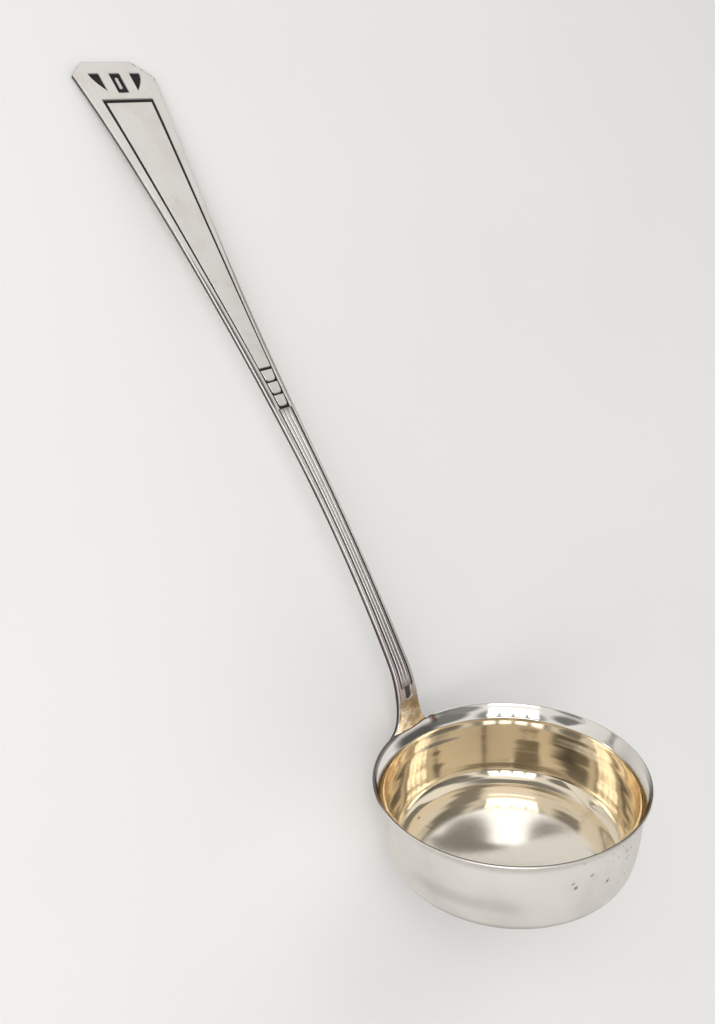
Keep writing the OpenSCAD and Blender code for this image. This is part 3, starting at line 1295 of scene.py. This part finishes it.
    def _reeds(
        self, form: HandleForm, s: np.ndarray, ay: np.ndarray
    ) -> tuple[np.ndarray, np.ndarray]:
        """Three rounded reeds between two outer grooves.

        Args:
            form: Sizes of the handle.
            s: Distances from the foot.
            ay: Distances from the middle, without sign.

        Returns:
            Depth in millimetres, and blackness from 0 to 1.
        """
        low, high = self.panel_foot, self.levels(form)["panel"]
        half = self.panel_half(form, s)
        run = inside(s, low, high, self.wall)
        outer = self._over(self.panel_groove / 2 - np.abs(ay - half))
        split = half * self.reed_split
        edge = half - self.panel_groove / 2
        middle_reed = np.clip(ay / np.maximum(split, 0.1), 0, 1)
        centre = (split + edge) / 2
        side_reed = np.clip(np.abs(ay - centre) / ((edge - split) / 2), 0, 1)
        valley = np.where(ay < split, middle_reed, side_reed) ** 4 * (ay < edge)
        foot, head = self.reed_point
        point = smooth(s, low, low + foot) * smooth(-s, -high, -high + head)
        sunk = np.where(ay < edge, (1 - point) * self.reed_sunk, 0.0)
        depth = np.maximum.reduce([outer, valley * self.reed_deep, sunk])
        black = [outer, smooth(valley, *self.valley_at)]
        black = [part * self.reed_black for part in black] + [sunk * self.sunk_black]
        return run * self.depth * depth, run * np.maximum.reduce(black)

    def _pit(self, s: np.ndarray, ay: np.ndarray) -> np.ndarray:
        """The pointed pit below the panel.

        Args:
            s: Distances from the foot.
            ay: Distances from the middle, without sign.

        Returns:
            1 in the pit, 0 elsewhere.
        """
        low = self.panel_foot - self.pit_len
        point = self.pit_len * self.pit_point
        share = np.clip((low + point - s) / point, 0, 1)
        ends, sides = self.pit_walls
        wide = smooth(self.pit_w / 2 * (1 - share) - ay, -sides, sides)
        return inside(s, low, self.panel_foot + 0.2, ends) * wide


@dataclass(frozen=True)
class Handle:
    """The long arched handle with its engraved front."""

    form: HandleForm = HandleForm()
    ornament: Engraving = Engraving()
    rim_r: float = 45.0
    columns: int = 104
    round_count: int = 5
    face_count: int = 4
    back_count: int = 25
    # How far the columns crowd at a step of the ornament: plain and added density, width
    crowd: tuple[float, float, float] = (26.0, 9.0, 0.24)
    contact_at: float = 1.2
    end_gap: float = 0.25
    # The end's round edge: distance from the end, inset
    end_steps: tuple[Span, ...] = ((0.17, 0.03), (0.08, 0.1), (0.0, 0.25))
    # Where the painted shade line on the side faces begins and is full, as shares of their height
    shade_line_at: Span = (0.4, 0.7)
    foot_fade: Span = (-16.0, -9.0)
    neck_fade: Span = (-60.0, -20.0)
    nick_along: Span = (9.5, 6.0)
    nick_fade: Span = (-1.1, -0.1)
    # Where the mesh needs close rings: distance from the foot at which it starts, spacing
    fine: tuple[tuple[float, float], ...] = (
        (0.0, 0.35), (6.0, 0.6), (12.4, 0.14), (18.4, 1.2), (20.6, 1.5), (123.4, 0.14),
        (142.0, 1.6), (251.2, 0.14), (254.2, 0.4), (256.8, 0.14), (265.5, 0.3),
    )

    def stations(self) -> np.ndarray:
        """Distances of the rings from the foot."""
        reach = self.form.reach
        stops = [s for s, _ in self.fine] + [reach - self.end_gap]
        found = [
            np.linspace(a, b, max(2, int(round((b - a) / gap))), endpoint=False)
            for (a, gap), b in zip(self.fine, stops[1:])
        ]
        extra = [reach - self.form.left_cut[1], reach - self.form.right_cut[1]]
        return np.unique(np.concatenate([*found, extra, [reach - self.end_gap]]))

    def contact(self) -> float:
        """Half width of the foot at the rim."""
        return float(self.form.half_w(np.array([self.contact_at]))[0])

    def spread(self, s: float, width: float) -> np.ndarray:
        """Places of half of the columns, close together at the ornament's steps.

        Args:
            s: Distance from the foot.
            width: Distance of the edge from the middle.

        Returns:
            Distances from the middle, from 0 to the width.
        """
        y = np.linspace(0, width, 900)
        plain, added, reach = self.crowd
        density = np.full_like(y, plain / width)
        for edge in self.ornament.edges(self.form, s):
            density += added * np.exp(-(((y - edge) / reach) ** 2))
        total = np.concatenate([[0.0], np.cumsum((density[1:] + density[:-1]) / 2)])
        return np.interp(np.linspace(0, 1, self.columns // 2 + 1), total / total[-1], y)

    def ring(self, s: float) -> tuple[np.ndarray, dict[str, np.ndarray]]:
        """One closed ring in the plane across the handle.

        Args:
            s: Distance from the foot.

        Returns:
            Points as distance from the middle and depth below the front, and values at them.
        """
        f, r = self.form, self.form.edge_round
        here = np.array([s])
        left, right = (float(f.side_w(here, side)[0]) for side in (Side.LEFT, Side.RIGHT))
        low, crown = float(f.edge_h(here)[0]), float(f.crown_h(here)[0])
        half_l = self.spread(s, left - r)
        half_r = self.spread(s, right - r)
        y = np.concatenate([half_l[::-1], -half_r[1:]])
        depth, black = self.ornament.relief(f, np.full_like(y, s), y)
        slope = self.ornament.bevel(f, np.full_like(y, s), y)
        drop = float(slope[0]) * self.ornament.bevel_drop
        bend = np.radians(np.linspace(90, 0, self.round_count + 1)[1:])
        curve = np.column_stack([r * np.cos(bend), drop + r - r * np.sin(bend)])
        down = np.linspace(drop + r, low, self.face_count + 1)[1:]
        back = np.linspace(-1, 1, self.back_count)[1:-1]
        span = np.where(back < 0, right, left)
        right_side = [
            np.column_stack([-(right - r) - curve[:, 0], curve[:, 1]]),
            np.column_stack([np.full_like(down, -right), down]),
        ]
        left_side = [
            np.column_stack([np.full_like(down, left), down])[::-1],
            np.column_stack([(left - r) + curve[:, 0], curve[:, 1]])[::-1],
        ]
        under = np.column_stack([back * span, low + crown * (1 - back**2)])
        points = np.vstack([np.column_stack([y, depth]), *right_side, under, *left_side])
        first, last = len(y), len(points)
        near, far = self.round_count, self.round_count + self.face_count
        sides = (
            (slice(first, first + near), slice(first + near, first + far)),
            (slice(last - near, last), slice(last - far, last - near)),
        )
        # Side faces carry the mask of their tarnish and painted dark reflection.
        flank, edge, foot = (np.zeros(last) for _ in range(3))
        for curved, face in sides:
            flank[face], edge[curved] = 1.0, 1.0
            # Lower part of each side face: mask of the painted shade line.
            foot[face] = smooth(points[face, 1], low * self.shade_line_at[0], low * self.shade_line_at[1])
        values = {
            "blacking": np.pad(black, (0, last - first)),
            # Left bevel only: mask of its painted dark reflection.
            "bevel": np.pad(slope * (y > 0), (0, last - first)),
            "flank": flank,
            "edge": edge,
            "foot_line": foot,
        }
        return points, values

    def build(self, lie: Lie) -> bpy.types.Object:
        """Makes the handle's mesh.

        Args:
            lie: How the ladle lies.

        Returns:
            The handle.
        """
        stations = self.stations()
        rings, values = zip(*(self.ring(float(s)) for s in stations))
        flat = np.array(rings)
        carried = {key: np.array([v[key] for v in values]) for key in values[0]}
        rounds = []
        for _, inset in self.end_steps:
            last = flat[-1].copy()
            middle = np.array([0.0, (last[:, 1].max() + last[:, 1].min()) / 2])
            size = np.array([np.abs(last[:, 0]).max(), last[:, 1].max() / 2])
            rounds.append(middle + (last - middle) * (1 - inset / size))
        flat = np.concatenate([flat, np.array(rounds)])
        more = len(rounds)
        carried = {k: np.concatenate([v, np.repeat(v[-1:], more, 0)]) for k, v in carried.items()}
        carried["edge"][-more:] = 1.0
        ends = self.form.reach - np.array([gap for gap, _ in self.end_steps])
        s_all = np.concatenate([stations, ends])
        x, z, angle = self.form.along(s_all, self.rim_r)
        sin, cos = np.sin(np.radians(angle))[:, None], np.cos(np.radians(angle))[:, None]
        y, depth = flat[..., 0], flat[..., 1]
        middle = self.form.drift(s_all)[:, None]
        points = np.stack([x[:, None] + depth * sin, y + middle, z[:, None] - depth * cos], -1)
        s_grid = s_all[:, None] + 0 * y
        carried["lay"] = np.stack([s_grid, y, depth], -1)
        corner = smooth(s_grid, *(self.form.reach - gap for gap in self.nick_along))
        side = self.form.side_w(s_all, Side.RIGHT)[:, None]
        carried["foot"] = smooth(-s_grid, *self.foot_fade)
        # Neck mask: painted mauve reflection tint, and darker flanks.
        carried["neck"] = smooth(-s_grid, *self.neck_fade)
        carried["nick"] = corner * smooth(-y - side, *self.nick_fade)
        return Skin("handle_engraved", lie.place(points), carried).build()


@dataclass(frozen=True)
class Seam:
    """The thin line of solder where the foot's front meets the lip."""

    half: float = 9.2
    radius: float = 0.2
    taper_half: float = 9.4
    taper: float = 1.2
    high: float = -0.25
    start: float = -1.0
    count: int = 90
    around: int = 10
    rounds: int = 30

    def build(self, bowl: BowlForm, inset: float, lie: Lie) -> bpy.types.Object:
        """Makes the line of solder.

        Args:
            bowl: Sizes of the bowl.
            inset: Distance of the foot's front from the rim's edge.
            lie: How the ladle lies.

        Returns:
            The line of solder.
        """
        front = bowl.rim_r - inset
        y = np.linspace(-self.half, self.half, self.count)
        z = np.full_like(y, self.start)
        for _ in range(self.rounds):
            gap = np.hypot(front, y) - bowl.lip_inner(z)
            z = np.clip(z + gap * 0.8, -bowl.lip_h, self.high)
        x = bowl.lip_inner(z) ** 2 - y**2
        centre = np.column_stack([np.sqrt(np.maximum(x, 0)), y, z])
        turn = np.linspace(0, 2 * math.pi, self.around, endpoint=False)
        size = self.radius * np.minimum(1, (self.taper_half - np.abs(y)) / self.taper)[:, None]
        across = [size * np.cos(turn), 0 * size * turn, -size * np.sin(turn)]
        ring = centre[:, None, :] + np.stack(across, -1)
        lay = np.broadcast_to(centre[:, None, :], ring.shape)
        return Skin("solder_seam", lie.place(ring), {"lay": lay}).build()


def toward(azimuth: float, elevation: float) -> np.ndarray:
    """Unit direction seen from the upright bowl.

    Args:
        azimuth: Degrees round the bowl's axis, from the handle towards the left.
        elevation: Degrees above the rim's plane.

    Returns:
        The direction in the drawing frame.
    """
    a, e = math.radians(azimuth), math.radians(elevation)
    return np.array([math.cos(a) * math.cos(e), math.sin(a) * math.cos(e), math.sin(e)])


def facing(lie: Lie, azimuth: float, elevation: float, distance: float, target: Vector) -> Matrix:
    """Place and turn of something that faces a point.

    Args:
        lie: How the ladle lies.
        azimuth: Its direction round the bowl's axis, from the handle towards the left.
        elevation: Degrees above the rim's plane.
        distance: How far away it is, in metres.
        target: Point that it faces.

    Returns:
        The matrix, with local Z away from the point and local Y up the bowl's axis.
    """
    away = lie.turn(toward(azimuth, elevation))
    across = lie.turn(toward(azimuth + 90, 0.0))
    axes = np.stack([across, np.cross(away, across), away], -1)
    place = target + Vector((away * distance).tolist())
    return Matrix.Translation(place) @ Matrix(axes.tolist()).to_4x4()


@dataclass(frozen=True)
class SoftBox:
    """A soft lamp that looks at the ladle, placed as seen from the upright bowl."""

    name: str
    azimuth: float
    elevation: float
    distance: float
    size: tuple[float, float]
    level: float

    def hang(self, lie: Lie, target: Vector) -> None:
        """Adds the lamp.

        Args:
            lie: How the ladle lies.
            target: Point that it looks at.
        """
        data = bpy.data.lights.new(self.name, "AREA")
        data.shape, data.size, data.size_y = "RECTANGLE", *self.size
        data.energy = self.level * math.pi * self.size[0] * self.size[1]
        lamp = bpy.data.objects.new(self.name, data)
        lamp.matrix_world = facing(lie, self.azimuth, self.elevation, self.distance, target)
        lamp.visible_camera = False
        bpy.context.scene.collection.objects.link(lamp)


@dataclass(frozen=True)
class Patch:
    """A soft round patch of the surroundings, placed as seen from the upright bowl."""

    azimuth: float
    elevation: float
    core: float
    edge: float
    level: float


@dataclass(frozen=True)
class Screen:
    """A dark screen with a bright opening, beyond the ladle, that only the metal shows."""

    azimuth: float = 306.0
    elevation: float = 42.0
    distance: float = 0.5
    size: tuple[float, float] = (0.8, 0.3)
    pane: tuple[float, float] = (0.03, 0.062)
    pane_up: float = 0.035
    panes: int = 3
    bar: float = 0.003
    soft: Span = (0.004, 0.002)
    bar_dims: float = 0.4
    dark: float = 0.24
    dark_tint: Colour = (1.0, 0.92, 0.78)
    level: float = 1.6

    def finish(self) -> bpy.types.Material:
        """Builds the material: dark cloth with a lit opening between thin bars.

        Returns:
            The finished material.
        """
        s = Shader("screen_cloth")
        place = s.node("ShaderNodeTexCoord", {}, {}, "Object")
        split = "ShaderNodeSeparateXYZ"
        across, up = (s.node(split, {}, {0: place}, axis) for axis in ("X", "Y"))
        soft, bar_soft = self.soft
        lit = (self.pane[0] - across.size()).step(-soft, soft)
        lit = lit * (self.pane[1] - (up - self.pane_up).size()).step(-soft, soft)
        pitch = 2 * self.pane[0] / self.panes
        from_bar = ((across / pitch + 0.5).part() - 0.5).size() * pitch - self.bar / 2
        bars = 1 - from_bar.step(-bar_soft, bar_soft)
        shade = tuple(self.dark * part for part in self.dark_tint)
        light = (self.level, self.level, self.level)
        colour = s.mix(lit * (1 - bars * self.bar_dims), shade, light)
        s.surface_is(Base_Color=(0.0, 0.0, 0.0), Roughness=1.0, Specular_IOR_Level=0.0)
        s.surface_is(Emission_Color=colour, Emission_Strength=1.0)
        return s.material

    def stand(self, lie: Lie, target: Vector) -> None:
        """Adds the screen.

        Args:
            lie: How the ladle lies.
            target: Point that it faces.
        """
        wide, high = self.size[0] / 2, self.size[1] / 2
        mesh = bpy.data.meshes.new("screen")
        corners = [(-wide, -high, 0.0), (wide, -high, 0.0), (wide, high, 0.0), (-wide, high, 0.0)]
        mesh.from_pydata(corners, [], [(0, 1, 2, 3)])
        made = bpy.data.objects.new("screen", mesh)
        made.matrix_world = facing(lie, self.azimuth, self.elevation, self.distance, target)
        made.visible_camera = made.visible_diffuse = made.visible_shadow = False
        mesh.materials.append(self.finish())
        bpy.context.scene.collection.objects.link(made)


@dataclass(frozen=True)
class Studio:
    """Table, lamps, surroundings and camera."""

    focal_px: float = 1060.3
    image_h: float = 1024.0
    sensor: float = 36.0
    clip: Span = (0.01, 50.0)
    table_size: float = 8.0
    table_drop: float = 0.00005
    # Point that the lamps face, in the row frame, and depth of the one that the screen faces
    lit_at: tuple[float, float, float] = (-0.06, 0.0, 0.03)
    screen_depth: float = 10.0
    # The default ends the light that runs round inside the lip too soon, and leaves it black
    mirror_bounces: int = 10
    eye: tuple[float, float, float] = (-3.8607, 5.2801, 4.5519)
    right: tuple[float, float, float] = (-0.7127, -0.7006, -0.0349)
    down: tuple[float, float, float] = (-0.2278, 0.2782, -0.9331)
    forward: tuple[float, float, float] = (0.6634, -0.6571, -0.3578)
    boxes: tuple[SoftBox, ...] = (
        SoftBox("pane_1", 145.5, 36.0, 1.3, (0.19, 0.75), 2.2),
        SoftBox("pane_2", 133.0, 36.0, 1.3, (0.19, 0.75), 2.6),
        SoftBox("pane_3", 120.5, 36.0, 1.3, (0.19, 0.75), 2.6),
        SoftBox("pane_4", 108.0, 36.0, 1.3, (0.19, 0.75), 2.2),
        SoftBox("low_box", 126.0, 4.0, 2.4, (2.0, 0.9), 2.7),
    )
    screen: Screen = Screen()
    plain: float = 0.9
    patches: tuple[Patch, ...] = (
        Patch(0.0, 90.0, 18.0, 30.0, 0.25),
        Patch(127.0, 26.0, 24.0, 32.0, 0.3),
        Patch(126.0, 60.0, 12.0, 20.0, 1.1),
        Patch(70.0, 34.0, 10.0, 18.0, 0.22),
        Patch(188.0, 34.0, 12.0, 20.0, 0.22),
        Patch(180.0, 54.0, 8.0, 14.0, 0.3),
        Patch(218.0, 14.0, 14.0, 30.0, 0.12),
        Patch(242.0, 50.0, 14.0, 30.0, 0.95),
    )
    tone: Colour = (1.0, 0.985, 0.965)

    def camera(self, lie: Lie, rim_r: float) -> None:
        """Adds the camera at the photograph's place.

        Args:
            lie: How the ladle lies.
            rim_r: Radius of the rim, the unit of the camera's place.
        """
        data = bpy.data.cameras.new("camera")
        data.sensor_width, data.sensor_fit = self.sensor, "AUTO"
        data.lens = self.focal_px / self.image_h * self.sensor
        data.clip_start, data.clip_end = self.clip
        made = bpy.data.objects.new("camera", data)
        axes = [lie.turn(np.array(v)) for v in (self.right, self.down, self.forward)]
        axes = [axes[0], -axes[1], -axes[2]]
        axes[1] -= axes[0] * float(axes[0] @ axes[1])
        axes = [a / np.linalg.norm(a) for a in axes]
        axes[2] = np.cross(axes[0], axes[1])
        turn = Matrix([[float(axes[c][r]) for c in range(3)] for r in range(3)]).to_4x4()
        place = lie.place(np.array([self.eye]) * rim_r)[0]
        made.matrix_world = Matrix.Translation(Vector(place.tolist())) @ turn
        bpy.context.scene.collection.objects.link(made)
        bpy.context.scene.camera = made

    def table(self) -> None:
        """Adds the table under the ladle."""
        place = (0.0, 0.0, -self.table_drop)
        bpy.ops.mesh.primitive_plane_add(size=self.table_size, location=place)
        made = bpy.context.object
        made.name = "table"
        made.data.materials.append(TableCloth().make())

    def surroundings(self, lie: Lie) -> None:
        """Sets the world: a plain pale room with softly brighter and darker patches.

        Args:
            lie: How the ladle lies.
        """
        world = bpy.data.worlds.new("studio")
        bpy.context.scene.world = world
        world.use_nodes = True
        sky = Tree(world.node_tree)
        place = sky.node("ShaderNodeTexCoord", {}, {}, "Generated")
        colour: Number | Colour = self._grey(self.plain)
        for patch in self.patches:
            centre = tuple(lie.turn(toward(patch.azimuth, patch.elevation)).tolist())
            settings, ends = {"operation": "DOT_PRODUCT"}, {0: place, 1: centre}
            near = sky.node("ShaderNodeVectorMath", settings, ends, "Value")
            low, high = (math.cos(math.radians(angle)) for angle in (patch.edge, patch.core))
            colour = sky.mix(near.step(low, high), colour, self._grey(patch.level))
        sky.feed(world.node_tree.nodes["Background"].inputs[0], colour)

    def _grey(self, level: float) -> Colour:
        """The room's tone at a level."""
        return (self.tone[0] * level, self.tone[1] * level, self.tone[2] * level)

    def set_up(self, lie: Lie, rim_r: float) -> None:
        """Adds everything around the ladle.

        Args:
            lie: How the ladle lies.
            rim_r: Radius of the rim.
        """
        self.camera(lie, rim_r)
        self.table()
        self.surroundings(lie)
        for box in self.boxes:
            box.hang(lie, Vector(self.lit_at))
        depth = np.array([[0.0, 0.0, -self.screen_depth]])
        self.screen.stand(lie, Vector(lie.place(depth)[0].tolist()))
        bpy.context.scene.view_settings.view_transform = "Standard"
        bpy.context.scene.cycles.glossy_bounces = self.mirror_bounces


def dress(piece: bpy.types.Object, finish: bpy.types.Material, slot: str, *nodes: str) -> None:
    """Gives a piece its finish and its body, and hides the CAD nodes that it replaces.

    Args:
        piece: The new piece.
        finish: Its material.
        slot: The record's material slot; not used.
        nodes: CAD nodes that it replaces.
    """
    piece.data.materials.append(finish)
    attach(piece, "root")
    if nodes:
        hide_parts(*nodes)
    LOG.info("%s: %d faces", piece.name, len(piece.data.polygons))


def main() -> None:
    """Builds the ladle and its studio."""
    logging.basicConfig(level=logging.INFO, format="%(message)s")
    bowl, handle = Bowl(), Handle()
    lie = Lie.of(bowl.form, handle.form)
    dress(bowl.build(lie, handle.contact()), GiltSilver().make(), "gilt_silver", "bowl")
    dress(handle.build(lie), WornSilver().make(), "silver", "handle")
    seam = Seam().build(bowl.form, handle.form.foot_inset, lie)
    dress(seam, Solder().make(), "silver")
    Studio().set_up(lie, bowl.form.rim_r)


if __name__ == "__main__":
    main()
